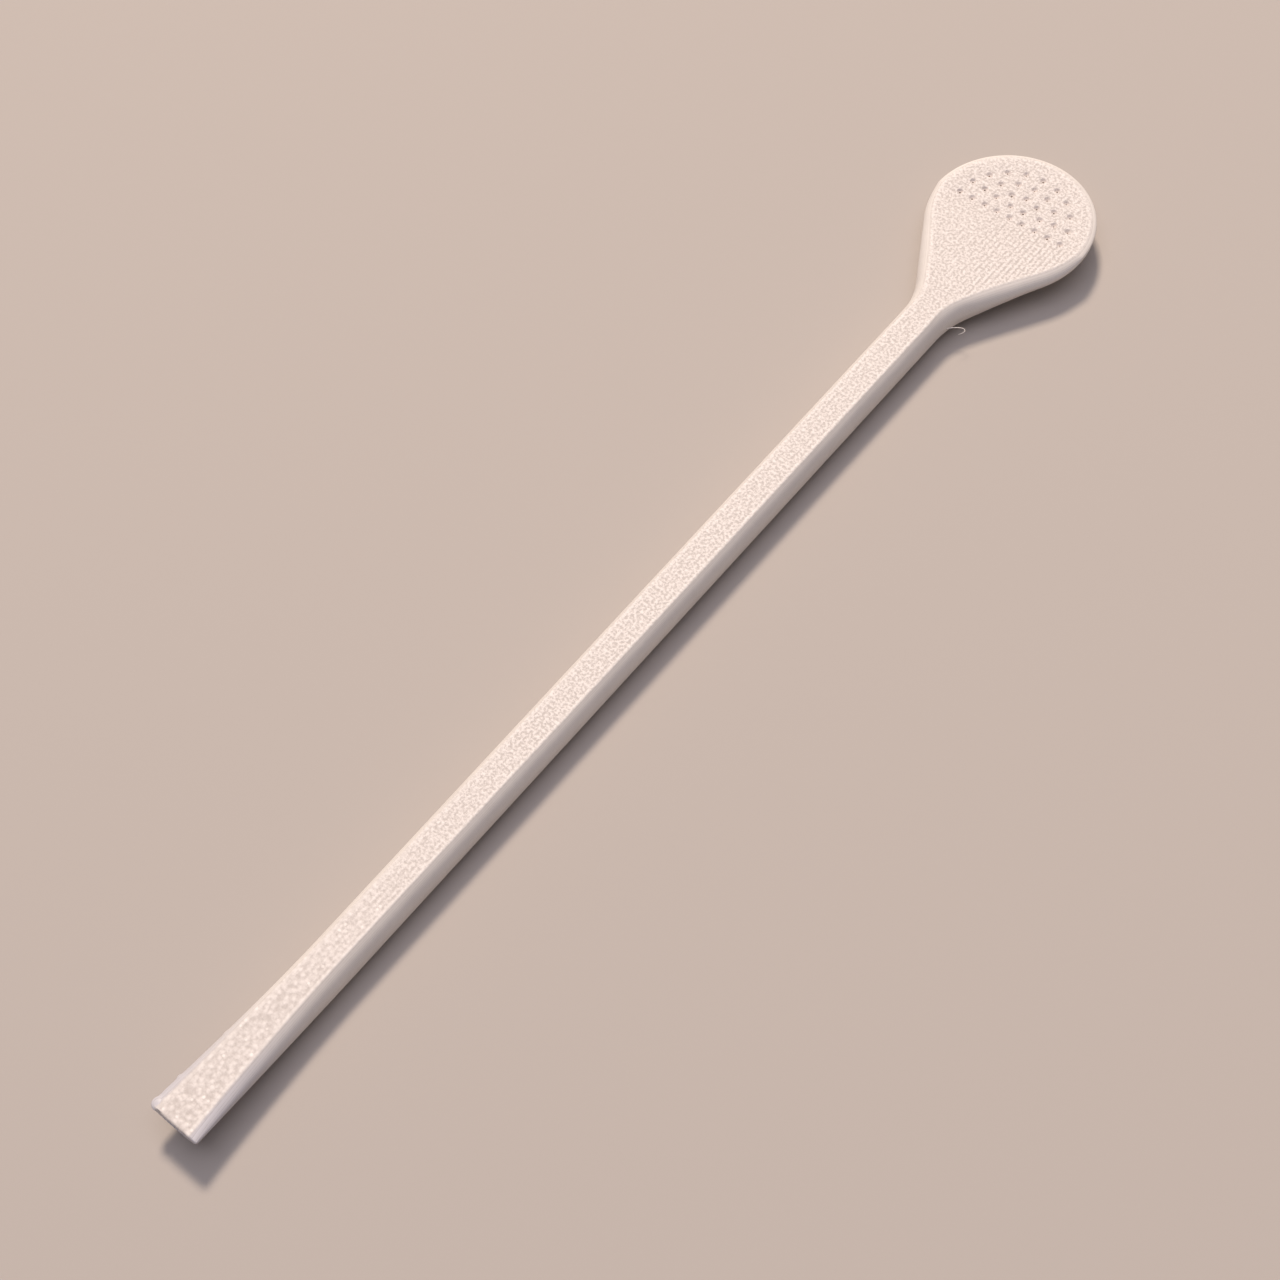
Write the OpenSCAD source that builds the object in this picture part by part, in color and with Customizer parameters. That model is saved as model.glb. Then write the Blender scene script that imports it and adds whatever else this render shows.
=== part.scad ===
// Bombilla: a drinking straw for mate with a spoon-shaped strainer head.
// It lies on its rounded back with the flat face up, as it rests on a table.
// The origin is under the middle of its length, +Y runs along the stem to the head, +Z is up.

/* [Overall] */
// Length from the tip of the head to the drinking end
total_l = 180; // [150:1:220]

/* [Stem] */
// Diameter of the round stem
stem_d = 6.25; // [5:0.05:8]
// Width of the flat face along the stem
stem_flat_w = 3.6; // [2.5:0.1:4.8]
// Thickness of the rounded wall round the drinking channel and the hollow of the head
wall = 1.2; // [0.8:0.1:1.6]

/* [Head] */
// Diameter of the round head at its widest line
head_d = 24.5; // [20:0.1:32]
// Depth of that widest line below the flat face
head_edge_depth = 0.6; // [0.3:0.1:1.6]
// Width of the rounded edge from the flat face out to the widest line
head_edge_w = 0.8; // [0.4:0.1:1.6]
// Width of the rim's flat top round the strainer plate
rim_w = 0.25; // [0.15:0.05:0.6]
// Width of the ledge, inside the rim, that the strainer plate rests on
ledge_w = 0.45; // [0.2:0.05:0.6]
// Thickness of the strainer plate
plate_t = 0.8; // [0.4:0.1:1.4]

/* [Strainer holes] */
// Diameter of each hole
hole_d = 0.85; // [0.5:0.05:1.2]
// Distance from each half ring of holes to the next
ring_pitch = 2.12; // [1.6:0.01:2.4]
// Number of holes in each half ring, from the innermost outwards
ring_counts = [4, 7, 9, 11]; // [3:1:13]

/* [Neck] */
// Angle between each straight side of the neck and the stem
neck_angle = 31; // [22:0.1:45]
// Radius of the hollow curve that leads each side into the stem
neck_fillet_r = 11; // [3:0.1:20]
// Width of the rounded edge half way along the neck
neck_edge_w = 1.8; // [0.9:0.1:2.4]

/* [Mouthpiece] */
// Length of the flare that ends the stem
mouth_l = 26; // [12:0.5:30]
// Width of the drinking end
mouth_w = 7.75; // [6.8:0.05:10]
// Thickness of the drinking end
mouth_t = 2.65; // [2.3:0.05:5]
// Depth of the drinking end's widest line below the flat face
mouth_edge_depth = 0.5; // [0.2:0.05:1]
// Width of the rounded edge at the drinking end
mouth_edge_w = 1.1; // [0.4:0.05:1.6]
// Width of the drinking slot
slot_w = 4.6; // [3:0.1:6]
// Height of the drinking slot
slot_h = 1; // [0.8:0.1:1.6]

/* [Hidden] */
plastic = "whitesmoke";
// Overlap of a cut with the open space that it leads into
cut = 0.1;
// Points along one oval section, and sections along the neck and the mouthpiece
arc_steps = 40;
neck_steps = 24;
mouth_steps = 16;
// Least angle from the top of an oval to the edge of its flat
least_angle = 4;

head_r = head_d / 2;
stem_r = stem_d / 2;
bore_r = stem_r - wall;
stem_edge_w = stem_r - stem_flat_w / 2;
// How far the rounded edge swells, half way along the neck, past an even change of width
neck_swell = neck_edge_w - (head_edge_w + stem_edge_w) / 2;
// Depths below the flat face: the stem's centre line, and the lowest line of the back
stem_depth = sqrt(stem_r * stem_r - stem_flat_w * stem_flat_w / 4);
thickness = stem_depth + stem_r;

// The neck's side: an arc of the head, a straight tangent, then the hollow curve into the stem
arc_end = head_r * sin(neck_angle);
neck_l = (head_r - stem_r * cos(neck_angle)) / sin(neck_angle) + neck_fillet_r * tan(neck_angle / 2);
fillet_start = neck_l - neck_fillet_r * sin(neck_angle);

// Places along Y
head_y = total_l / 2 - head_r;
stem_top_y = head_y - neck_l;
mouth_end_y = -total_l / 2;
stem_end_y = mouth_end_y + mouth_l;

function smooth(x) = x <= 0 ? 0 : x >= 1 ? 1 : x * x * (3 - 2 * x);
function blend(from, to, share) = from + (to - from) * share;

// An oval section is [half width, depth of its widest line, reach above that line, reach below it].
// The oval whose top the flat face cuts off at a given half width
function faced(half_w, flat_half_w, depth, below) =
    [half_w, depth, depth / sqrt(1 - pow(flat_half_w / half_w, 2)), below];

// Half width at a distance u behind the head's centre
function neck_half_w(u) =
    u < arc_end ? sqrt(head_r * head_r - u * u)
    : u < fillet_start ? (head_r - u * sin(neck_angle)) / cos(neck_angle)
    : stem_r + neck_fillet_r - sqrt(pow(neck_fillet_r, 2) - pow(neck_l - u, 2));
function neck_edge(u) =
    blend(head_edge_w, stem_edge_w, u / neck_l) + 4 * neck_swell * u * (neck_l - u) / pow(neck_l, 2);
function neck_flat(u) = neck_half_w(u) - neck_edge(u);
function plate_half_w(u) = neck_flat(u) - rim_w;
// How far the neck has turned from the head's section, 0, to the stem's, 1
function neck_share(u) = smooth((u - arc_end) / (neck_l - arc_end));
function neck_depth(u) = blend(head_edge_depth, stem_depth, neck_share(u));
function neck_oval(u) = faced(neck_half_w(u), neck_flat(u), neck_depth(u), thickness - neck_depth(u));
// The hollow leaves a ledge under the plate at the head and meets the stem's bore at the other end
function hollow_oval(u) =
    let (reach = thickness - wall - neck_depth(u), tail_ledge = plate_half_w(neck_l) - bore_r)
    [plate_half_w(u) - blend(ledge_w, tail_ledge, neck_share(u)), neck_depth(u), reach, reach];
// Distance behind the head's centre of a numbered section of the neck
function neck_u(i) = neck_l * i / neck_steps;

// The mouthpiece widens and thins slowly at first, share running from 0 to 1 at the end
function flare(share) = pow(share, 1.5);
function mouth_oval(share) = faced(
    blend(stem_r, mouth_w / 2, flare(share)),
    blend(stem_flat_w / 2, mouth_w / 2 - mouth_edge_w, flare(share)),
    blend(stem_depth, mouth_edge_depth, flare(share)),
    blend(stem_r, mouth_t - mouth_edge_depth, flare(share)));
function slot_oval(share) =
    let (half_h = blend(bore_r, slot_h / 2, flare(share)))
    [blend(bore_r, slot_w / 2, flare(share)), blend(stem_depth, mouth_t / 2, flare(share)), half_h, half_h];

// Point [x, depth] of an oval at an angle from its top
function oval_point(oval, a) = [oval[0] * sin(a), oval[1] - (a < 90 || a > 270 ? oval[2] : oval[3]) * cos(a)];
// Angle from the top of an oval to where a level at the given depth cuts it
function level_angle(oval, depth) =
    acos(min(1, max(-1, (oval[1] - depth) / (depth < oval[1] ? oval[2] : oval[3]))));
// Points [x, depth] of an oval below a level, from the right side round the back to the left
function arc_points(oval, level, to_angle = 360) =
    let (first = max(least_angle, level_angle(oval, level)), last = min(to_angle, 360 - first))
    [for (i = [0 : arc_steps]) oval_point(oval, blend(first, last, i / arc_steps))];
function ring_points(oval) = [for (i = [0 : arc_steps - 1]) oval_point(oval, 360 * i / arc_steps)];
// How far the end sections of a channel reach past the piece that it runs through
function overrun(i, last) = i == 0 ? cut : i == last ? -cut : 0;

// Solid through a row of convex sections, each [y, points], with the same number of points
module loft(sections) {
    count = len(sections[0][1]);
    last = len(sections) - 1;
    points = [for (s = sections) for (p = s[1]) [p[0], s[0], thickness - p[1]]];
    sides = [for (j = [0 : last - 1]) for (i = [0 : count - 1])
        let (a = j * count + i, b = j * count + (i + 1) % count)
        each [[a, b, b + count], [a, b + count, a + count]]];
    first_cap = [for (i = [1 : count - 2]) [0, i + 1, i]];
    last_cap = [for (i = [1 : count - 2]) [last * count, last * count + i, last * count + i + 1]];
    polyhedron(points = points, faces = concat(sides, first_cap, last_cap));
}

// Blank of the strainer plate: a half round end, then sides that follow the neck to the stem
module plate_blank(height, tail = 0) {
    sides = [for (i = [0 : neck_steps])
        [plate_half_w(neck_u(i)), head_y - neck_u(i) - (i == neck_steps ? tail : 0)]];
    mirrored = [for (i = [neck_steps : -1 : 0]) [-sides[i][0], sides[i][1]]];
    translate([0, 0, thickness - plate_t])
        union() {
            translate([0, head_y, 0])
                rotate_extrude(angle = 180, $fn = 120) square([plate_half_w(0), height]);
            linear_extrude(height) polygon(concat(sides, mirrored));
        }
}

module strainer_holes() {
    translate([0, head_y, thickness - plate_t - cut])
        for (ring = [0 : len(ring_counts)]) {
            count = ring == 0 ? 1 : ring_counts[ring - 1];
            for (i = [0 : count - 1])
                rotate([0, 0, 180 * i / max(1, count - 1)])
                    translate([ring * ring_pitch, 0, 0])
                        cylinder(d = hole_d, h = plate_t + 2 * cut, $fn = 24);
        }
}

// Flat plate with half rings of holes, seated on a ledge inside the rim
module filter_plate() {
    color(plastic)
        difference() {
            plate_blank(plate_t);
            strainer_holes();
        }
}

// Domed back of the head's round end, with the rim and the ledge that the plate sits on
module filter_bowl() {
    outside = arc_points(neck_oval(0), 0, 180);
    inside = arc_points(hollow_oval(0), plate_t, 180);
    seat = [[plate_half_w(0), plate_t], [plate_half_w(0), 0]];
    wall_section = concat(outside, [for (i = [arc_steps : -1 : 0]) inside[i]], seat);
    color(plastic)
        translate([0, head_y, thickness])
            rotate_extrude(angle = 180, $fn = 120)
                polygon([for (p = wall_section) [max(0, p[0]), -p[1]]]);
}

// Funnel that narrows from the head's full width to the stem, open on top for the plate
module neck() {
    outside = [for (i = [0 : neck_steps])
        [head_y - neck_u(i), arc_points(neck_oval(neck_u(i)), 0)]];
    inside = [for (i = [0 : neck_steps])
        [head_y - neck_u(i) + overrun(i, neck_steps),
            arc_points(hollow_oval(neck_u(i)), plate_t - cut)]];
    color(plastic)
        difference() {
            loft(outside);
            loft(inside);
            plate_blank(plate_t + cut, cut);
        }
}

// Round tube with a flat along its top
module stem() {
    length = stem_top_y - stem_end_y;
    color(plastic)
        translate([0, stem_top_y, thickness - stem_depth])
            rotate([90, 0, 0])
                difference() {
                    cylinder(d = stem_d, h = length, $fn = 96);
                    translate([-stem_r, stem_depth, -cut])
                        cube([stem_d, stem_r, length + 2 * cut]);
                    translate([0, 0, -cut])
                        cylinder(r = bore_r, h = length + 2 * cut, $fn = 64);
                }
}

// Tip that flares in width and thins towards the lips, with the channel drawn out to a slot
module mouthpiece() {
    outside = [for (i = [0 : mouth_steps])
        [stem_end_y - mouth_l * i / mouth_steps, arc_points(mouth_oval(i / mouth_steps), 0)]];
    inside = [for (i = [0 : mouth_steps])
        [stem_end_y - mouth_l * i / mouth_steps + overrun(i, mouth_steps),
            ring_points(slot_oval(i / mouth_steps))]];
    color(plastic)
        difference() {
            loft(outside);
            loft(inside);
        }
}

filter_plate();
filter_bowl();
neck();
stem();
mouthpiece();
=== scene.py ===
import math
import random

import bmesh
import bpy
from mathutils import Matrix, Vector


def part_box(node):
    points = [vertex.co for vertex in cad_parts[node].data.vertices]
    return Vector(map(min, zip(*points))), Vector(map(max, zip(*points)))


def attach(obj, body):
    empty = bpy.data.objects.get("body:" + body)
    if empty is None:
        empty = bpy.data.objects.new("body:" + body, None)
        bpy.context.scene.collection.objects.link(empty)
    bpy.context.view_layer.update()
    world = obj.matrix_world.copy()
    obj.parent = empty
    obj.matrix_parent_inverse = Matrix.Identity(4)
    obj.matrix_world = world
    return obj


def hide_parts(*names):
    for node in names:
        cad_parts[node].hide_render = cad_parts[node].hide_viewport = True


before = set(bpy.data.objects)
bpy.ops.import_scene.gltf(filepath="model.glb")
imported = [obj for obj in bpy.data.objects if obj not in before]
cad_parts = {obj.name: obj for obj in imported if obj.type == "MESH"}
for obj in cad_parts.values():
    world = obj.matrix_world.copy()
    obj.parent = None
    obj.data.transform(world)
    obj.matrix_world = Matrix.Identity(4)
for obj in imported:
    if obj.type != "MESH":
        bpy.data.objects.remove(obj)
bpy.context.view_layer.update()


# Filter bowl: the domed back of the head's round end, white plastic laid down in thin flat layers.
# It is printed in one go with the neck; its rounded rim frames the strainer plate, and a narrow
# ledge just inside the rim carries the plate's edge.
bowl_low, bowl_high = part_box("filter_bowl")
face_z = bowl_high.z
head_y = bowl_low.y
head_r = bowl_high.y - bowl_low.y
head_edge_depth = 0.0006
head_edge_w = 0.0008
wall = 0.0012
rim_w = 0.00025
ledge_w = 0.00045
plate_t = 0.0008
ridge_soft = 0.00017
soft_steps, edge_steps, back_steps = 5, 10, 26
millimetres = 1000
wall_inboard, hollow_inboard = -1, -2


def on_straw(points, flat):
    """Points (x, depth) as (x, z, inboard): inboard is the distance from the flat face's edge in
    millimetres, above zero on the flat face and below zero round its edge and on the back."""
    placed = []
    for x, z in points:
        level = x < flat and z > -ridge_soft
        inboard = flat - x if level else -math.hypot(x - flat, z)
        placed.append((x, face_z + z, inboard * millimetres))
    return placed


def back_profile(oval):
    """Points (x, z, inboard) from the flat face's edge round the soft ridge to the middle of the back.

    An oval is (half width, half width of its flat, depth of its widest line, reach below that line)."""
    half_w, flat, depth, below = oval
    above = depth / math.sqrt(1 - (flat / half_w) ** 2)
    start = math.asin(flat / half_w)
    turn = ridge_soft / math.hypot(half_w * math.cos(start), above * math.sin(start))
    side = (half_w * math.sin(start + turn), above * math.cos(start + turn) - depth)
    points = []
    for i in range(soft_steps):
        t = i / soft_steps
        x = (1 - t) ** 2 * (flat - ridge_soft) + 2 * t * (1 - t) * flat + t * t * side[0]
        points.append((x, t * t * side[1]))
    for i in range(edge_steps):
        a = start + turn + (math.pi / 2 - start - turn) * i / edge_steps
        points.append((half_w * math.sin(a), above * math.cos(a) - depth))
    for i in range(back_steps + 1):
        a = math.pi / 2 * (1 + i / back_steps)
        points.append((half_w * max(0, math.sin(a)), below * math.cos(a) - depth))
    return on_straw(points, flat)


def hollow_profile(seat, half_w, depth, reach, steps=24):
    """Points (x, z, inboard) from the rim down to the ledge, along it and round the hollow."""
    first = math.acos(min(1, (depth - plate_t) / reach))
    points = [(seat, face_z, rim_w * millimetres), (seat, face_z - plate_t, wall_inboard)]
    for i in range(steps + 1):
        a = first + (math.pi - first) * i / steps
        points.append((half_w * math.sin(a), face_z + reach * math.cos(a) - depth, hollow_inboard))
    return points


def sharpen(bm, degrees=32):
    """Shades the mesh smooth, apart from its real corners."""
    for face in bm.faces:
        face.smooth = True
    for edge in bm.edges:
        edge.smooth = len(edge.link_faces) == 2 and edge.calc_face_angle(0) < math.radians(degrees)


def finish_piece(bm, node, material):
    """Makes the mesh a piece that stands for a CAD node."""
    bmesh.ops.recalc_face_normals(bm, faces=bm.faces)
    sharpen(bm)
    mesh = bpy.data.meshes.new(node + "_printed")
    bm.to_mesh(mesh)
    bm.free()
    mesh.materials.append(material)
    piece = bpy.data.objects.new(node + "_printed", mesh)
    bpy.context.scene.collection.objects.link(piece)
    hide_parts(node)
    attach(piece, "root")


def new_group(name, outputs):
    """An empty shader group that is fed with coordinates."""
    group = bpy.data.node_groups.new(name, "ShaderNodeTree")
    group.interface.new_socket("Vector", in_out="INPUT", socket_type="NodeSocketVector")
    for label, kind in outputs:
        group.interface.new_socket(label, in_out="OUTPUT", socket_type=kind)
    return group, group.nodes.new("NodeGroupInput").outputs["Vector"], group.nodes.new("NodeGroupOutput")


def math_node(tree, operation, first, second=None, third=None, clamp=False):
    """A Math node whose inputs are sockets or numbers; returns its output socket."""
    node = tree.nodes.new("ShaderNodeMath")
    node.operation = operation
    node.use_clamp = clamp
    for socket, value in zip(node.inputs, (first, second, third)):
        if value is None:
            continue
        if isinstance(value, (int, float)):
            socket.default_value = value
        else:
            tree.links.new(value, socket)
    return node.outputs[0]


def ramp_up(tree, value, low, high):
    """0 below low, 1 above high, with soft ends; returns the output socket."""
    node = tree.nodes.new("ShaderNodeMapRange")
    node.interpolation_type = "SMOOTHSTEP"
    tree.links.new(value, node.inputs["Value"])
    node.inputs["From Min"].default_value = low
    node.inputs["From Max"].default_value = high
    return node.outputs["Result"]


def noise_at(tree, vector, grain, detail=2.0, roughness=0.5):
    """Noise with lumps of about the given size in metres; returns its Fac socket."""
    node = tree.nodes.new("ShaderNodeTexNoise")
    tree.links.new(vector, node.inputs["Vector"])
    node.inputs["Scale"].default_value = 1 / grain
    node.inputs["Detail"].default_value = detail
    node.inputs["Roughness"].default_value = roughness
    return node.outputs["Fac"]


def pebbles_at(tree, vector, size):
    """Rounded pebbles of about the given size in metres, 1 on their crowns; returns the output socket."""
    node = tree.nodes.new("ShaderNodeTexVoronoi")
    node.feature = "SMOOTH_F1"
    node.inputs["Scale"].default_value = 1 / size
    node.inputs["Smoothness"].default_value = 0.3
    tree.links.new(vector, node.inputs["Vector"])
    return math_node(tree, "MULTIPLY_ADD", node.outputs["Distance"], -1.4, 1.0, clamp=True)


def mix_value(tree, factor, first, second):
    """A value between two sockets, by a factor socket."""
    node = tree.nodes.new("ShaderNodeMix")
    tree.links.new(factor, node.inputs["Factor"])
    tree.links.new(first, node.inputs["A"])
    tree.links.new(second, node.inputs["B"])
    return node.outputs["Result"]


def mix_color(tree, factor, first, second, blend="MIX"):
    """A colour between two, each a socket or a tuple, by a factor socket."""
    node = tree.nodes.new("ShaderNodeMix")
    node.data_type = "RGBA"
    node.blend_type = blend
    tree.links.new(factor, node.inputs["Factor"])
    for socket, value in ((node.inputs["A"], first), (node.inputs["B"], second)):
        if isinstance(value, tuple):
            socket.default_value = value
        else:
            tree.links.new(value, socket)
    return node.outputs["Result"]


# The side that lay on the print bed: pebbles of the bed's powder coat pressed into the first layer,
# fine on the head and larger towards the lips, over faint strands laid side by side along the straw.
bed_print, place, bed_out = new_group(
    "bed_print", [("Height", "NodeSocketFloat"), ("Speck", "NodeSocketFloat"), ("Crown", "NodeSocketFloat")])
axes = bed_print.nodes.new("ShaderNodeSeparateXYZ")
bed_print.links.new(place, axes.inputs[0])
coarse_y, fine_y = -0.08, -0.025
pebble_size, coarse_size, fine_size, sway_size = 0.00066, 0.0005, 0.00038, 0.004
grain_detail, grain_roughness = 2.0, 0.6
pebble_share, coarse_share, coarse_level = 0.16, 0.31, 0.285
near_head = ramp_up(bed_print, axes.outputs["Y"], coarse_y, fine_y)
pebbles = pebbles_at(bed_print, place, pebble_size)
coarse_noise = noise_at(bed_print, place, coarse_size, grain_detail, grain_roughness)
coarse_grain = math_node(bed_print, "MULTIPLY_ADD", pebbles, pebble_share, math_node(
    bed_print, "MULTIPLY_ADD", coarse_noise, coarse_share, coarse_level))
fine_grain = noise_at(bed_print, place, fine_size, grain_detail, grain_roughness)
strand_pitch = 0.00074
strand_start = 0.00027
strand_sway, strand_middle, strand_rise = 0.4, 0.64, 0.16
stem_strand_share = -0.4
sway = math_node(bed_print, "SUBTRACT", noise_at(bed_print, place, sway_size, 1.0), 0.5)
lane = math_node(bed_print, "MULTIPLY_ADD", sway, strand_sway, math_node(
    bed_print, "DIVIDE", math_node(bed_print, "SUBTRACT", axes.outputs["X"], strand_start), strand_pitch))
strands = math_node(bed_print, "ABSOLUTE", math_node(
    bed_print, "SINE", math_node(bed_print, "MULTIPLY", lane, math.pi)))
right_half = ramp_up(bed_print, axes.outputs["X"], -0.004, 0.003)
past_neck = ramp_up(bed_print, axes.outputs["Y"], head_y - 0.022, head_y - 0.012)
short_of_holes = ramp_up(bed_print, axes.outputs["Y"], head_y + 0.002, head_y - 0.002)
head_strands = math_node(bed_print, "MULTIPLY", right_half, math_node(
    bed_print, "MULTIPLY", past_neck, short_of_holes))
short_of_neck = ramp_up(bed_print, axes.outputs["Y"], head_y - 0.018, head_y - 0.028)
past_lips = ramp_up(bed_print, axes.outputs["Y"], -0.076, -0.06)
stem_strands = math_node(bed_print, "MULTIPLY", short_of_neck, past_lips)
ridged = math_node(bed_print, "MULTIPLY", math_node(bed_print, "SUBTRACT", strands, strand_middle), math_node(
    bed_print, "MULTIPLY_ADD", stem_strands, stem_strand_share, head_strands))
grain = math_node(bed_print, "MULTIPLY_ADD", ridged, strand_rise, mix_value(
    bed_print, near_head, coarse_grain, fine_grain))
bed_print.links.new(grain, bed_out.inputs["Height"])
bed_print.links.new(ramp_up(bed_print, grain, 0.36, 0.64), bed_out.inputs["Crown"])
# Bright specks on the bed grain: painted glints, many towards the lips and few on the head.
drop_size = 0.0009
drops = bed_print.nodes.new("ShaderNodeTexVoronoi")
drops.inputs["Scale"].default_value = 1 / drop_size
bed_print.links.new(place, drops.inputs["Vector"])
drop_draw = bed_print.nodes.new("ShaderNodeSeparateColor")
bed_print.links.new(drops.outputs["Color"], drop_draw.inputs[0])
lip_specks, head_specks = 0.7, 0.2
speck_share = math_node(bed_print, "MULTIPLY_ADD", near_head, head_specks - lip_specks, lip_specks)
drop_middle = ramp_up(bed_print, drops.outputs["Distance"], 0.3, 0.12)
drop_drawn = ramp_up(bed_print, drop_draw.outputs["Red"], 0.5, 0.85)
bed_print.links.new(math_node(bed_print, "MULTIPLY", speck_share, math_node(
    bed_print, "MULTIPLY", drop_middle, drop_drawn)), bed_out.inputs["Speck"])

# The sides and the back: each layer leaves a rounded bead, so the wall is a stack of fine ribs that
# open into terraces where the back turns level.
layer_ribs, rib_place, rib_out = new_group("layer_ribs", [("Height", "NodeSocketFloat")])
layer_h = 0.0002
layer_waver, waver_size, haze_size = 0.12, 0.006, 0.0009
bead_share, haze_share = 0.65, 0.35
rib_axes = layer_ribs.nodes.new("ShaderNodeSeparateXYZ")
layer_ribs.links.new(rib_place, rib_axes.inputs[0])
waver = noise_at(layer_ribs, rib_place, waver_size)
level = math_node(layer_ribs, "MULTIPLY_ADD", waver, layer_waver, math_node(
    layer_ribs, "DIVIDE", rib_axes.outputs["Z"], layer_h))
bead = math_node(layer_ribs, "POWER", math_node(layer_ribs, "ABSOLUTE", math_node(
    layer_ribs, "SINE", math_node(layer_ribs, "MULTIPLY", level, math.pi))), 0.5)
haze = noise_at(layer_ribs, rib_place, haze_size, 3.0)
layer_ribs.links.new(math_node(
    layer_ribs, "MULTIPLY_ADD", haze, haze_share, math_node(layer_ribs, "MULTIPLY", bead, bead_share)),
    rib_out.inputs["Height"])

# White plastic is never one tone: faint cloudy patches. Towards the lips the sides and back are painted
# darker and cooler: painted shade.
plastic_tone, tone_place, tone_out = new_group("plastic_tone", [("Color", "NodeSocketColor")])
tone_axes = plastic_tone.nodes.new("ShaderNodeSeparateXYZ")
plastic_tone.links.new(tone_place, tone_axes.inputs[0])
cloud_size = 0.007
cloud = ramp_up(plastic_tone, noise_at(plastic_tone, tone_place, cloud_size, 4.0, 0.55), 0.3, 0.7)
# The lips' colours are painted shade, darker and cooler than the stem's.
lip_shade_dark, lip_shade_light = (0.6, 0.58, 0.6, 1), (0.64, 0.62, 0.64, 1)
stem_dark, stem_light = (0.8, 0.75, 0.695, 1), (0.84, 0.79, 0.73, 1)
lip_shade_y, stem_tone_y = -0.088, -0.066
lip_shade_tone = mix_color(plastic_tone, cloud, lip_shade_dark, lip_shade_light)
stem_tone = mix_color(plastic_tone, cloud, stem_dark, stem_light)
up_stem = ramp_up(plastic_tone, tone_axes.outputs["Y"], lip_shade_y, stem_tone_y)
plastic_tone.links.new(mix_color(plastic_tone, up_stem, lip_shade_tone, stem_tone), tone_out.inputs["Color"])


def place_group(tree, group, coordinates):
    """Puts a shader group into a material, fed with the piece's own coordinates."""
    node = tree.nodes.new("ShaderNodeGroup")
    node.node_tree = group
    tree.links.new(coordinates.outputs["Object"], node.inputs["Vector"])
    return node


grain_depth = 0.00012
rib_depth = 0.000012
plastic_ior = 1.46
# Painted shade in the bed grain's pits and painted light on its crowns.
pit_shade_color, crown_lit_color = (0.54, 0.49, 0.452, 1), (0.815, 0.762, 0.716, 1)
groove_shade = (0.72, 0.7, 0.68, 1)
# A painted highlight along the smooth rim of the flat face.
rim_highlight_color = (0.9, 0.855, 0.8, 1)
# Painted glint colour for the specks.
speck_glint_color = (0.95, 0.9, 0.84, 1)
wall_roughness, bed_roughness, speck_polish = 0.42, 0.54, 0.2
bed_fade, groove_fade = (-0.4, 0.25), (0.5, 0.25)
pressed_start, pressed_end, rim_highlight_share = (-0.1, 0.15), (0.3, 0.9), 0.3


def printed_plastic(name, wall_color=None):
    """White printed plastic: bed grain on the flat face, with painted shade in its pits, painted light on its
    crowns and painted glints on polished specks, fading out along its edge; a painted highlight along the
    rim that the bed pressed smooth; and layer ribs beyond it, in the body's cloudy tone with painted shade
    in their grooves, or in a given colour, which for the strainer is painted shade."""
    material = bpy.data.materials.new(name)
    material.use_nodes = True
    tree = material.node_tree
    shader = tree.nodes["Principled BSDF"]
    shader.inputs["IOR"].default_value = plastic_ior
    coordinates = tree.nodes.new("ShaderNodeTexCoord")
    inboard = tree.nodes.new("ShaderNodeAttribute")
    inboard.attribute_name = "inboard"
    on_bed = ramp_up(tree, inboard.outputs["Fac"], *bed_fade)
    bed = place_group(tree, bed_print, coordinates)
    ribs = place_group(tree, layer_ribs, coordinates)
    walls = wall_color
    if walls is None:
        toned = place_group(tree, plastic_tone, coordinates)
        grooves = ramp_up(tree, ribs.outputs["Height"], *groove_fade)
        walls = mix_color(tree, grooves, toned.outputs["Color"], groove_shade, "MULTIPLY")
    bed_bump = tree.nodes.new("ShaderNodeBump")
    bed_bump.inputs["Distance"].default_value = grain_depth
    tree.links.new(math_node(tree, "MULTIPLY", bed.outputs["Height"], on_bed), bed_bump.inputs["Height"])
    rib_bump = tree.nodes.new("ShaderNodeBump")
    rib_bump.inputs["Distance"].default_value = rib_depth
    tree.links.new(math_node(tree, "MULTIPLY", ribs.outputs["Height"], math_node(
        tree, "SUBTRACT", 1.0, on_bed)), rib_bump.inputs["Height"])
    tree.links.new(bed_bump.outputs["Normal"], rib_bump.inputs["Normal"])
    tree.links.new(rib_bump.outputs["Normal"], shader.inputs["Normal"])
    # Painted shade in the grain's pits and painted light on its crowns, mixed by the grain's height.
    grained = mix_color(tree, bed.outputs["Crown"], pit_shade_color, crown_lit_color)
    color = mix_color(tree, on_bed, walls, grained)
    # Painted highlight: a lighter band along the rim of the flat face.
    past_edge = ramp_up(tree, inboard.outputs["Fac"], *pressed_start)
    past_rim = ramp_up(tree, inboard.outputs["Fac"], *pressed_end)
    pressed = math_node(tree, "MULTIPLY", past_edge, math_node(
        tree, "SUBTRACT", rim_highlight_share, past_rim), clamp=True)
    color = mix_color(tree, pressed, color, rim_highlight_color)
    # Painted glints: the specks are made lighter, and their roughness is lowered as well.
    specks = math_node(tree, "MULTIPLY", bed.outputs["Speck"], on_bed)
    color = mix_color(tree, specks, color, speck_glint_color)
    tree.links.new(color, shader.inputs["Base Color"])
    tree.links.new(math_node(tree, "MULTIPLY_ADD", on_bed, bed_roughness - wall_roughness, math_node(
        tree, "MULTIPLY_ADD", specks, -speck_polish, wall_roughness)), shader.inputs["Roughness"])
    return material


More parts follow.
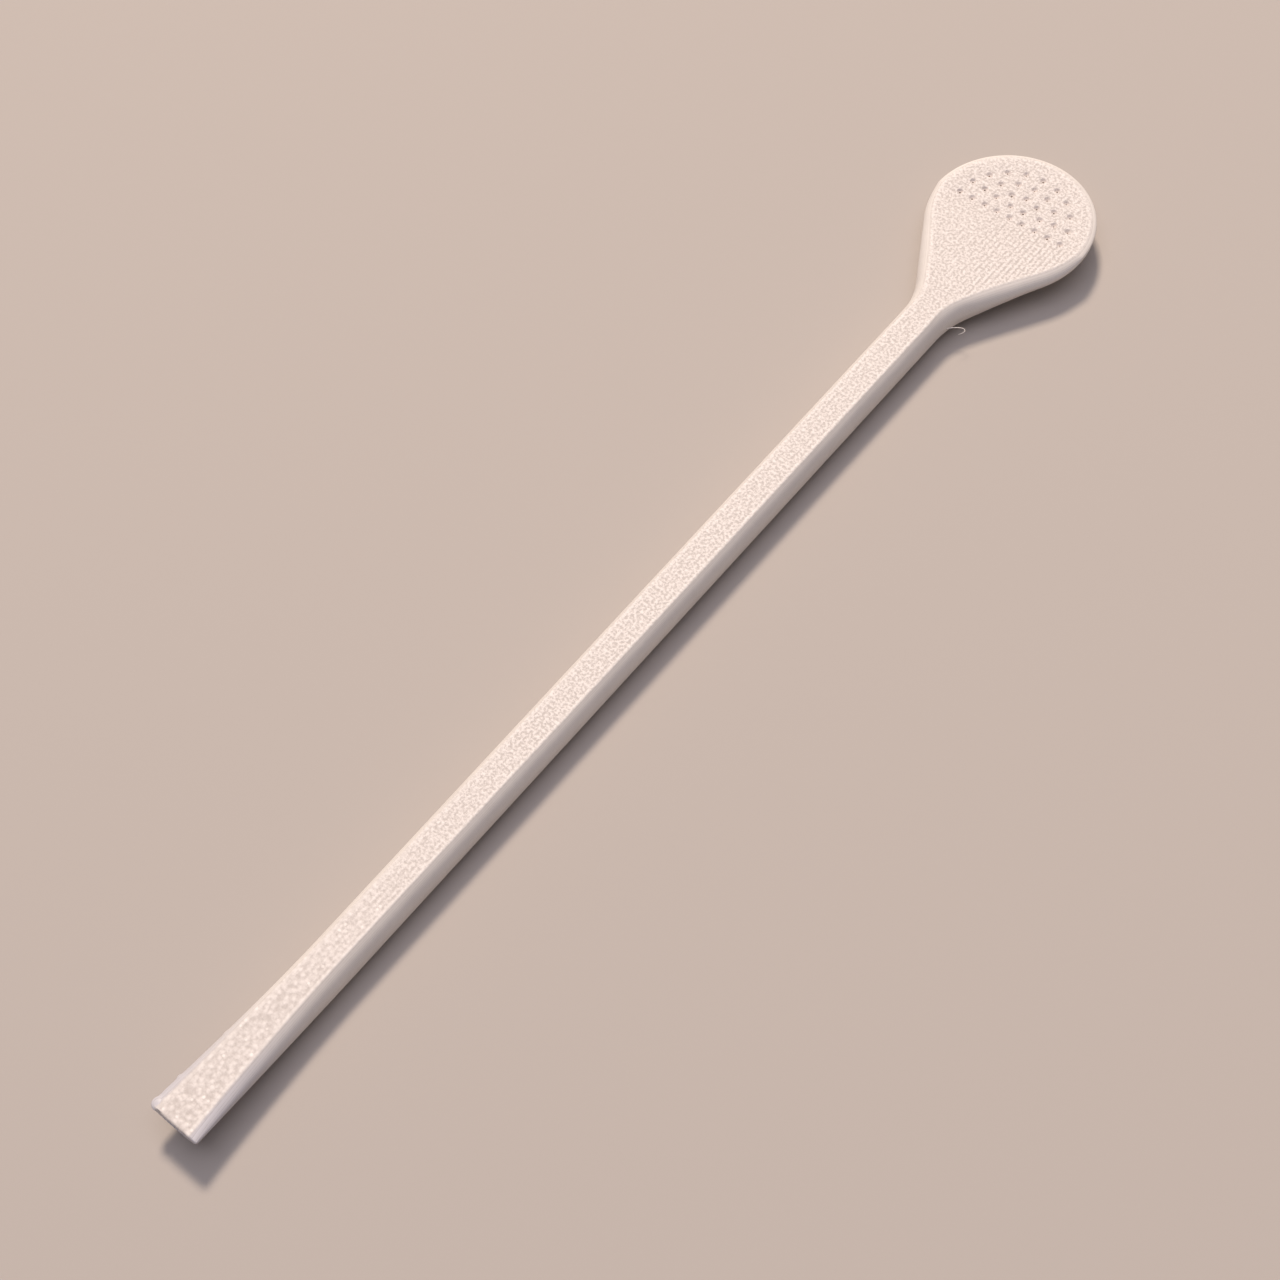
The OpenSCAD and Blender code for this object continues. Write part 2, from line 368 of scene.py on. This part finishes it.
body_plastic = printed_plastic("body_plastic")
head_flat = head_r - head_edge_w
head_oval = (head_r, head_flat, head_edge_depth, face_z - head_edge_depth)
spin_steps = 96
merge_gap = 1e-8
bm = bmesh.new()
inboard_layer = bm.verts.layers.float.new("inboard")
profile = back_profile(head_oval)[::-1] + hollow_profile(
    head_flat - rim_w, head_flat - rim_w - ledge_w, head_edge_depth, face_z - wall - head_edge_depth)
previous = None
for x, z, gap in profile:
    vert = bm.verts.new((max(0, x), head_y, z))
    vert[inboard_layer] = gap
    if previous is not None:
        bm.edges.new((previous, vert))
    previous = vert
bmesh.ops.spin(bm, geom=bm.verts[:] + bm.edges[:], cent=(0, head_y, 0), axis=(0, 0, 1),
               angle=math.pi, steps=spin_steps, use_merge=False)
bmesh.ops.remove_doubles(bm, verts=bm.verts, dist=merge_gap)
bmesh.ops.edgeloop_fill(bm, edges=[e for e in bm.edges if e.is_boundary])
finish_piece(bm, "filter_bowl", body_plastic)


# Neck: the funnel between the head and the stem, white plastic printed in one go with both.
# Its sides leave the head's round on a straight taper and run out into the stem in a hollow curve;
# the rim and the ledge of the bowl carry on along it, and a stray thread of plastic curls off one side.
neck_low, neck_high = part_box("neck")
stem_low, stem_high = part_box("stem")
neck_l = neck_high.y - neck_low.y
stem_r = (stem_high.x - stem_low.x) / 2
stem_depth = face_z - stem_r
stem_flat = math.sqrt(stem_r ** 2 - stem_depth ** 2)
bore_r = stem_r - wall
neck_angle = math.radians(31)
neck_fillet_r = 0.011
neck_edge_w = 0.0018
roll_depth, roll_full, roll_least, roll_lean = 0.0011, 0.0005, 1e-6, 0.6
rim_pull, join_pull = 0.4, 0.49
gain_most, gain_start, gain_run = 0.00024, 0.0115, 0.006
gain_lost, loss_start_y, loss_run = 0.76, 0.005, 0.069
arc_end = head_r * math.sin(neck_angle)
fillet_start = neck_l - neck_fillet_r * math.sin(neck_angle)
neck_swell = neck_edge_w - (head_edge_w + stem_r - stem_flat) / 2


def soft_step(share):
    """0 below 0, 1 above 1, with soft ends."""
    share = min(1, max(0, share))
    return share * share * (3 - 2 * share)


def flat_gain(y):
    """How much further out the flat's edge lies along the straw: most by the neck, nothing on the head."""
    rise = soft_step((head_y - gain_start - y) / gain_run)
    return gain_most * rise * (1 - gain_lost * soft_step((loss_start_y - y) / loss_run))


def neck_share(u):
    """How far the neck has turned from the head's section, 0, to the stem's, 1."""
    return soft_step((u - arc_end) / (neck_l - arc_end))


def neck_oval(u):
    """The neck's oval at a distance u behind the head's centre."""
    if u < arc_end:
        half_w = math.sqrt(head_r ** 2 - u ** 2)
    elif u < fillet_start:
        half_w = (head_r - u * math.sin(neck_angle)) / math.cos(neck_angle)
    else:
        half_w = stem_r + neck_fillet_r - math.sqrt(neck_fillet_r ** 2 - (neck_l - u) ** 2)
    along = u / neck_l
    edge_w = head_edge_w + (stem_r - stem_flat - head_edge_w) * along + 4 * neck_swell * along * (1 - along)
    depth = head_edge_depth + (stem_depth - head_edge_depth) * neck_share(u)
    return half_w, half_w - edge_w + flat_gain(head_y - u), depth, face_z - depth


def curve_weights(t):
    """The weights of a curve's four handles, a share t of the way along it."""
    return (1 - t) ** 3, 3 * t * (1 - t) ** 2, 3 * t * t * (1 - t), t ** 3


def rolled_profile(u):
    """The neck's outside from the rim round the back, with its edge rolled over most beside the head."""
    half_w, flat, depth, below = neck_oval(u)
    plain = back_profile((half_w, flat, depth, below))
    roll = roll_depth * math.sin(math.pi * (u / neck_l) ** roll_lean)
    if roll < roll_least:
        return plain
    turn = math.asin(roll / below)
    join = (half_w * math.cos(turn), -below * math.sin(turn) - depth)
    lean = math.hypot(half_w * math.sin(turn), below * math.cos(turn))
    lift = -join_pull * join[1] / lean
    start = flat - ridge_soft
    handles = ((start, 0), (start + rim_pull * (join[0] - start), 0),
               (join[0] + lift * half_w * math.sin(turn), join[1] + lift * below * math.cos(turn)), join)
    edge_count = soft_steps + edge_steps
    points = []
    for i in range(edge_count):
        t = i / edge_count
        points.append(tuple(sum(w * h[k] for w, h in zip(curve_weights(t), handles)) for k in range(2)))
    for i in range(back_steps + 1):
        a = turn + (math.pi / 2 - turn) * i / back_steps
        points.append((half_w * max(0, math.cos(a)), -below * math.sin(a) - depth))
    share = soft_step(roll / roll_full)
    rolled = on_straw(points, flat)
    return [tuple(a + (b - a) * share for a, b in zip(*pair)) for pair in zip(plain, rolled)]


def neck_outline(u):
    """The neck's channel section: rim, ridge and back on the outside, ledge and hollow inside."""
    oval = neck_oval(u)
    seat = oval[1] - rim_w
    ledge = ledge_w + (seat - bore_r - ledge_w) * neck_share(u)
    outer = rolled_profile(u)
    inner = hollow_profile(seat, seat - ledge, oval[2], face_z - wall - oval[2])
    left = [(-x, z, gap) for x, z, gap in outer[-2::-1]]
    return outer + left + [(-x, z, gap) for x, z, gap in inner[:-1]] + inner[::-1]


def across(y, points):
    """An outline's points (x, y, z, inboard) where it crosses the straw."""
    return [(x, y, z, gap) for x, z, gap in points]


def ring_edges(ring):
    """The edges of a ring of vertices, each once and in order."""
    return list(dict.fromkeys(edge for vert in ring for edge in vert.link_edges))


def loft(bm, rings, layer):
    """Extrudes one closed ring of points from station to station; returns the edges of both ends."""
    station = bm.verts.layers.int.get("station") or bm.verts.layers.int.new("station")
    ring = bmesh.ops.create_circle(bm, segments=len(rings[0]), radius=1)["verts"]
    for i, vert in enumerate(ring):
        vert[station] = i
    edges = ring_edges(ring)
    first = edges
    for number, points in enumerate(rings):
        if number:
            made = bmesh.ops.extrude_edge_only(bm, edges=edges)["geom"]
            ring = [g for g in made if isinstance(g, bmesh.types.BMVert)]
            edges = [g for g in made if isinstance(g, bmesh.types.BMEdge)
                     and all(v in ring for v in g.verts)]
        for vert in ring:
            *vert.co, vert[layer] = points[vert[station]]
    return first, edges


thread_r = 0.00006
thread_z = face_z - stem_depth
thread_path = ((0.00305, 0.0577), (0.0052, 0.0602), (0.0062, 0.0594), (0.00525, 0.0581))
thread_stations = 24


def thread_ring(t, sides=8):
    """A small ring of points across the stray thread, a share t of the way along its curl."""
    slopes = (-(1 - t) ** 2, (1 - t) * (1 - 3 * t), t * (2 - 3 * t), t * t)
    x, y = (sum(w * p[k] for w, p in zip(curve_weights(t), thread_path)) for k in range(2))
    dx, dy = (sum(w * p[k] for w, p in zip(slopes, thread_path)) for k in range(2))
    run = math.hypot(dx, dy)
    radius = thread_r * (1 - 0.5 * t)
    turns = [2 * math.pi * i / sides for i in range(sides)]
    return [(x + radius * math.cos(a) * dy / run, y - radius * math.cos(a) * dx / run,
             thread_z + radius * math.sin(a), wall_inboard) for a in turns]


neck_stations = 72
bm = bmesh.new()
inboard_layer = bm.verts.layers.float.new("inboard")
ends = loft(bm, [across(head_y - neck_l * i / neck_stations, neck_outline(neck_l * i / neck_stations))
                 for i in range(neck_stations + 1)], inboard_layer)
ends += loft(bm, [thread_ring(i / thread_stations) for i in range(thread_stations + 1)], inboard_layer)
for end in ends:
    bmesh.ops.edgeloop_fill(bm, edges=end)
finish_piece(bm, "neck", body_plastic)


# Strainer plate: the flat perforated face of the head, the first layers of the white print.
# It sits inside the rim on the ledge; the plastic round each small hole has drawn in, so each hole
# is a soft funnel that narrows to a small throat.
# Painted shade in the holes' funnels and throats, on the plate's edge and on its back.
hole_shade_color = (0.72, 0.655, 0.61, 1)
strainer_plastic = printed_plastic("strainer_plastic", wall_color=hole_shade_color)
hole_r = 0.000425
hole_soft = 0.0001
throat_r = 0.00014
throat_depth = 0.00032
ring_pitch = 0.00212
ring_counts = (4, 7, 9, 11)
plate_back_z = face_z - plate_t
plate_insets = (0, 0.0003, 0.0006)
neck_points, dome_points, hole_points = 48, 64, 28
funnel_steps = 8
hole_seed = 7
hole_spread, throat_spread, lump_spread = (0.92, 1.05), (0.75, 1.2), (-0.05, 0.05)
throat_shift = 0.00004
lump_count, first_lump = 4, 2
hole_inboard = 1.5


def plate_outline(inset):
    """Points (x, y) round the plate, from the tail's right corner over the round end to its left."""
    by = rim_w + inset
    right = [(neck_oval(neck_l * i / neck_points)[1] - by, head_y - neck_l * i / neck_points)
             for i in range(neck_points, -1, -1)]
    dome = [((head_flat - by) * math.cos(math.pi * i / dome_points),
             head_y + (head_flat - by) * math.sin(math.pi * i / dome_points))
            for i in range(1, dome_points)]
    return right + dome + [(-x, y) for x, y in right[::-1]]


def extrude_loop(bm, edges, move):
    """Extrudes a row of edges and moves each new vertex; returns the new row's edges."""
    made = bmesh.ops.extrude_edge_only(bm, edges=edges)["geom"]
    verts = [g for g in made if isinstance(g, bmesh.types.BMVert)]
    for vert in verts:
        vert.co = move(vert.co)
        vert[inboard_layer] = min(vert[inboard_layer], wall_inboard)
    return [g for g in made if isinstance(g, bmesh.types.BMEdge) and all(v in verts for v in g.verts)]


hole_places = [(0.0, 0.0)]
for ring_number, count in enumerate(ring_counts, start=1):
    for i in range(count):
        a = math.pi * i / (count - 1)
        hole_places.append((ring_number * ring_pitch * math.cos(a), ring_number * ring_pitch * math.sin(a)))

bm = bmesh.new()
inboard_layer = bm.verts.layers.float.new("inboard")
rows = []
for inset in plate_insets:
    row = [bm.verts.new((x, y, face_z)) for x, y in plate_outline(inset)]
    for vert in row:
        vert[inboard_layer] = (rim_w + inset) * millimetres
    rows.append(([bm.edges.new(pair) for pair in zip(row, row[1:])], row))
for (outer_edges, _), (inner_edges, _) in zip(rows, rows[1:]):
    bmesh.ops.bridge_loops(bm, edges=outer_edges + inner_edges)
tail = [rows[0][1][0], rows[1][1][0], rows[2][1][0], rows[2][1][-1], rows[1][1][-1], rows[0][1][-1]]
tail_edges = [bm.edges.get(pair) or bm.edges.new(pair) for pair in zip(tail, tail[1:])]
top_edges, back_edges = rows[2][0] + [tail_edges[2]], []
uneven = random.Random(hole_seed)
for along, up in hole_places:
    centre = (along, head_y + up)
    mouth_r = hole_r * uneven.uniform(*hole_spread) + hole_soft
    throat = throat_r * uneven.uniform(*throat_spread)
    shift = (uneven.uniform(-1, 1) * throat_shift, uneven.uniform(-1, 1) * throat_shift)
    lumps = [uneven.uniform(*lump_spread) for _ in range(lump_count)]
    ring = bmesh.ops.create_circle(bm, segments=hole_points, radius=mouth_r)["verts"]
    for vert in ring:
        a = math.atan2(vert.co.y, vert.co.x)
        swell = 1 + sum(k * math.cos(n * a) for n, k in enumerate(lumps, start=first_lump))
        vert.co = (centre[0] + vert.co.x * swell, centre[1] + vert.co.y * swell, face_z)
        vert[inboard_layer] = hole_inboard
    edges = ring_edges(ring)
    top_edges += edges
    last_r = mouth_r
    for step in range(1, funnel_steps + 1):
        t = step / funnel_steps
        radius = mouth_r + (throat - mouth_r) * t
        drop = throat_depth * soft_step(t)
        grow = radius / last_r
        last_r = radius

        def draw_in(co):
            """A ring's point on the next, narrower ring of the funnel."""
            return (centre[0] + (co.x - centre[0]) * grow + shift[0] / funnel_steps,
                    centre[1] + (co.y - centre[1]) * grow + shift[1] / funnel_steps, face_z - drop)

        edges = extrude_loop(bm, edges, draw_in)
    edges = extrude_loop(bm, edges, lambda co: (co.x, co.y, plate_back_z))
    back_edges += edges
plate_side = extrude_loop(bm, rows[0][0] + tail_edges, lambda co: (co.x, co.y, plate_back_z))
bmesh.ops.triangle_fill(bm, edges=top_edges, use_beauty=True)
bmesh.ops.triangle_fill(bm, edges=back_edges + plate_side, use_beauty=True)
finish_piece(bm, "filter_plate", strainer_plastic)


# Stem: the long white plastic tube that the drink rises through, printed lying on the flat along its top.
# It runs straight from the neck to the mouthpiece with no joint that shows.
stem_top_y, stem_end_y = stem_high.y, stem_low.y
channel_steps = 48
middle_gap = 1e-9


def mirrored(points):
    """A closed outline from its right half, whose first and last points may lie on the middle plane."""
    inner = [p for p in points if p[0] > middle_gap]
    return points + [(-x, z, gap) for x, z, gap in inner[::-1]]


def tube_outline(oval, flat_steps=6):
    """The closed outline of a flat-topped oval."""
    back = back_profile(oval)
    reach = back[0][0]
    flat = [(reach * i / flat_steps, face_z, (oval[1] - reach * i / flat_steps) * millimetres)
            for i in range(flat_steps)]
    return mirrored(flat + back)


def stem_oval(y):
    """The stem's flat-topped round section."""
    return stem_r, stem_flat + flat_gain(y), stem_depth, stem_r


def channel_outline(half_w, depth, half_h):
    """The closed outline of the drinking channel."""
    return [(half_w * math.sin(2 * math.pi * i / channel_steps),
             face_z - depth + half_h * math.cos(2 * math.pi * i / channel_steps), hollow_inboard)
            for i in range(channel_steps)]


stem_stations = 60
stem_places = [stem_top_y + (stem_end_y - stem_top_y) * i / stem_stations for i in range(stem_stations + 1)]
bm = bmesh.new()
inboard_layer = bm.verts.layers.float.new("inboard")
outer_ends = loft(bm, [across(y, tube_outline(stem_oval(y))) for y in stem_places], inboard_layer)
bore = (bore_r, stem_depth, bore_r)
inner_ends = loft(bm, [across(y, channel_outline(*bore)) for y in stem_places], inboard_layer)
for outer_end, inner_end in zip(outer_ends, inner_ends):
    bmesh.ops.triangle_fill(bm, edges=outer_end + inner_end, use_beauty=True)
finish_piece(bm, "stem", body_plastic)


# Mouthpiece: the plastic end that goes between the lips, flared and thinned on the print's rounded side.
# The channel is drawn out into a slot, and the last layers leave the end square with soft edges.
mouth_low, mouth_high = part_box("mouthpiece")
mouth_l = mouth_high.y - mouth_low.y
mouth_half_w = (mouth_high.x - mouth_low.x) / 2
mouth_t = 0.00265
mouth_edge_depth = 0.0005
mouth_edge_w = 0.0011
slot_half_w, slot_half_h = 0.0023, 0.0005
slot = (slot_half_w, mouth_t / 2, slot_half_h)
flare_power = 1.5
lip_steps = 5
lip_soft = 0.0003
slot_soft = 0.00012
mouth_stations = 160


def between(start, end, share):
    """The oval a share of the way from one oval to another."""
    return tuple(a + (b - a) * share for a, b in zip(start, end))


def drawn_in(points, by):
    """An outline moved inwards by a distance, along its own normals."""
    moved = []
    for i, (x, z, gap) in enumerate(points):
        (xa, za, _), (xb, zb, _) = points[i - 1], points[(i + 1) % len(points)]
        run = math.hypot(xb - xa, zb - za)
        moved.append((x - by * (za - zb) / run, z - by * (xb - xa) / run, gap))
    return moved


mouth_oval = (mouth_half_w, mouth_half_w - mouth_edge_w, mouth_edge_depth, mouth_t - mouth_edge_depth)
outer_rows, inner_rows = [], []
for i in range(mouth_stations + 1):
    reach = (mouth_l - lip_soft) * i / mouth_stations
    flare = (reach / mouth_l) ** flare_power
    y = stem_end_y - reach
    outer_rows.append(across(y, tube_outline(between(stem_oval(stem_end_y), mouth_oval, flare))))
    inner_rows.append(across(y, channel_outline(*between(bore, slot, flare))))
for step in range(1, lip_steps + 1):
    a = math.pi / 2 * step / lip_steps
    y = mouth_low.y + lip_soft * (1 - math.sin(a))
    inset = lip_soft * (1 - math.cos(a))
    outer_rows.append(across(y, drawn_in(tube_outline(mouth_oval), inset)))
    inner_rows.append(across(y, drawn_in(channel_outline(*slot), -inset * slot_soft / lip_soft)))

nubs = ((-0.07815, 0.00015), (-0.0854, 0.00018), (-0.0881, -0.00005))
nub_l = 0.00035
nub_from, nub_full = 0.7, 0.95
notch_x, notch_w, notch_l = -0.0021, 0.00025, 0.00016
right_corner_r = 0.0003
bead_r = 0.00092
bead_proud = 0.00014
bead_half_h = 0.0004
bead_inboard = -0.5
bead_at = (bead_r - mouth_half_w, mouth_low.y + bead_r - bead_proud, face_z - bead_half_h)


def worn(point):
    """A point of the outside with the print's flaws: nubs on the left edge, and rounded end corners of
    which the left one has run into a bead beside a notch."""
    x, y, z, gap = point
    edge = max(0, min(1, (abs(x) / mouth_half_w - nub_from) / (nub_full - nub_from)))
    if x < 0:
        for nub_y, height in nubs:
            x -= edge * height * math.exp(-((y - nub_y) / nub_l) ** 2)
    corner_r = bead_r if x < 0 else right_corner_r
    out_x = abs(x) - (mouth_half_w - corner_r)
    out_y = mouth_low.y + corner_r - y
    reach = math.hypot(out_x, out_y)
    if out_x > 0 and out_y > 0 and reach > corner_r:
        x += math.copysign(out_x * (1 - corner_r / reach), -x)
        y += out_y * (1 - corner_r / reach)
    if y < mouth_low.y + notch_l and z > face_z - mouth_t / 3:
        y += notch_l * math.exp(-((x - notch_x) / notch_w) ** 2)
    if x < 0:
        spot = (x - bead_at[0], y - bead_at[1], (z - bead_at[2]) * bead_r / bead_half_h)
        reach = math.hypot(*spot)
        if 0 < reach < bead_r:
            x, y = bead_at[0] + spot[0] * bead_r / reach, bead_at[1] + spot[1] * bead_r / reach
            z = bead_at[2] + spot[2] * bead_half_h / reach
            gap = min(gap, bead_inboard)
    return x, max(y, mouth_low.y - bead_proud), min(z, face_z), gap


bm = bmesh.new()
inboard_layer = bm.verts.layers.float.new("inboard")
outer_ends = loft(bm, [[worn(point) for point in row] for row in outer_rows], inboard_layer)
inner_ends = loft(bm, inner_rows, inboard_layer)
for outer_end, inner_end in zip(outer_ends, inner_ends):
    bmesh.ops.triangle_fill(bm, edges=outer_end + inner_end, use_beauty=True)
finish_piece(bm, "mouthpiece", body_plastic)


# Stage: a plain pale tabletop under the straw, with a warm lamp from the left, a wide cool
# one overhead and an even sky.
table_r = 0.9
table_color = (0.465, 0.42, 0.38, 1)
backdrop_color = (0.56, 0.51, 0.47, 1)
sky_color, sky_strength = (0.95, 0.93, 1.12, 1), 0.15
bm = bmesh.new()
bmesh.ops.create_circle(bm, cap_ends=True, segments=96, radius=table_r)
table_mesh = bpy.data.meshes.new("tabletop")
bm.to_mesh(table_mesh)
bm.free()
tabletop = bpy.data.objects.new("tabletop", table_mesh)
bpy.context.scene.collection.objects.link(tabletop)
pale = bpy.data.materials.new("pale_table")
pale.use_nodes = True
table_shader = pale.node_tree.nodes["Principled BSDF"]
table_shader.inputs["Base Color"].default_value = table_color
table_shader.inputs["Roughness"].default_value = 0.8
table_mesh.materials.append(pale)

world = bpy.data.worlds.new("studio")
bpy.context.scene.world = world
world.use_nodes = True
sky = world.node_tree.nodes["Background"]
sky.inputs["Color"].default_value = sky_color
sky.inputs["Strength"].default_value = sky_strength
backdrop = world.node_tree.nodes.new("ShaderNodeBackground")
backdrop.inputs["Color"].default_value = backdrop_color
seen = world.node_tree.nodes.new("ShaderNodeLightPath")
choose = world.node_tree.nodes.new("ShaderNodeMixShader")
shows = seen.outputs["Is Camera Ray"]
for ray in ("Is Glossy Ray", "Is Transmission Ray"):
    shows = math_node(world.node_tree, "MAXIMUM", shows, seen.outputs[ray])
world.node_tree.links.new(shows, choose.inputs[0])
world.node_tree.links.new(sky.outputs[0], choose.inputs[1])
world.node_tree.links.new(backdrop.outputs[0], choose.inputs[2])
world.node_tree.links.new(choose.outputs[0], world.node_tree.nodes["World Output"].inputs["Surface"])


def soft_lamp(name, place, aim, size, power, color):
    """A square lamp at a place, turned to a point on the table."""
    light = bpy.data.lights.new(name, "AREA")
    light.size = size
    light.energy = power
    light.color = color
    lamp = bpy.data.objects.new(name, light)
    lamp.location = place
    away = lamp.location - type(lamp.location)(aim)
    lamp.rotation_euler = away.to_track_quat("Z", "Y").to_euler()
    bpy.context.scene.collection.objects.link(lamp)


soft_lamp("lamp_left", place=(-0.92, 0.864, 1.84), aim=(0, 0, 0), size=0.4, power=44.5,
          color=(1.0, 0.845, 0.705))
soft_lamp("lamp_above", place=(0, 0, 1.3), aim=(0, 0, 0), size=1.2, power=7.5, color=(0.965, 0.925, 1.03))

camera_data = bpy.data.cameras.new("camera")
camera_data.lens = 62.506
camera_data.sensor_width = 36
camera_data.clip_start = 0.01
camera = bpy.data.objects.new("camera", camera_data)
camera.location = (0.107156, -0.109563, 0.248292)
camera.rotation_euler = (math.radians(30.8483), math.radians(3.9351), math.radians(39.3136))
bpy.context.scene.collection.objects.link(camera)
bpy.context.scene.camera = camera
bpy.context.scene.view_settings.view_transform = "Standard"
